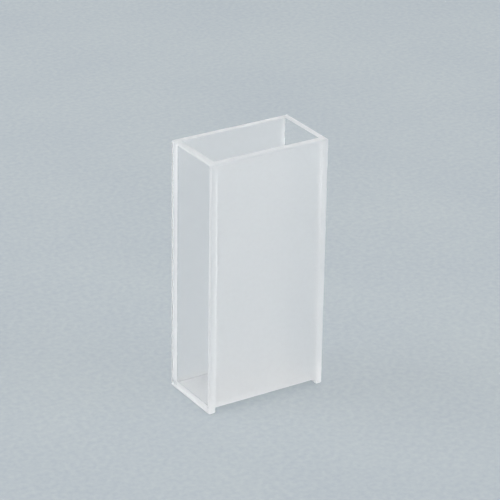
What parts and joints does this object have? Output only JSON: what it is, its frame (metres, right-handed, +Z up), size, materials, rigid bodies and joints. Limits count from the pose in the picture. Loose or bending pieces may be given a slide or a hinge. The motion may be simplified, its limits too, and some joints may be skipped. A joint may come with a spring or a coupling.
{
  "type": "cuvette",
  "caption": "Rectangular open-top glass cell with clear windows on its narrow ends, ground side plates between them and a base plate raised on the windows' feet.",
  "frame": {"origin": "middle of the cell's footprint, at the level of the undersides of the feet", "axes": "+X along the light path, towards the right window; +Y towards the back side plate; +Z up, towards the open rim"},
  "size_m": [0.0226, 0.0126, 0.045],
  "materials": {
    "polished_glass": "polished",
    "ground_glass": "fine ground, matte"
  },
  "bodies": {
    "root": {"left_window": "polished_glass", "right_window": "polished_glass", "front_side_plate": "ground_glass", "back_side_plate": "ground_glass", "base_plate": "ground_glass"}
  },
  "joints": []
}
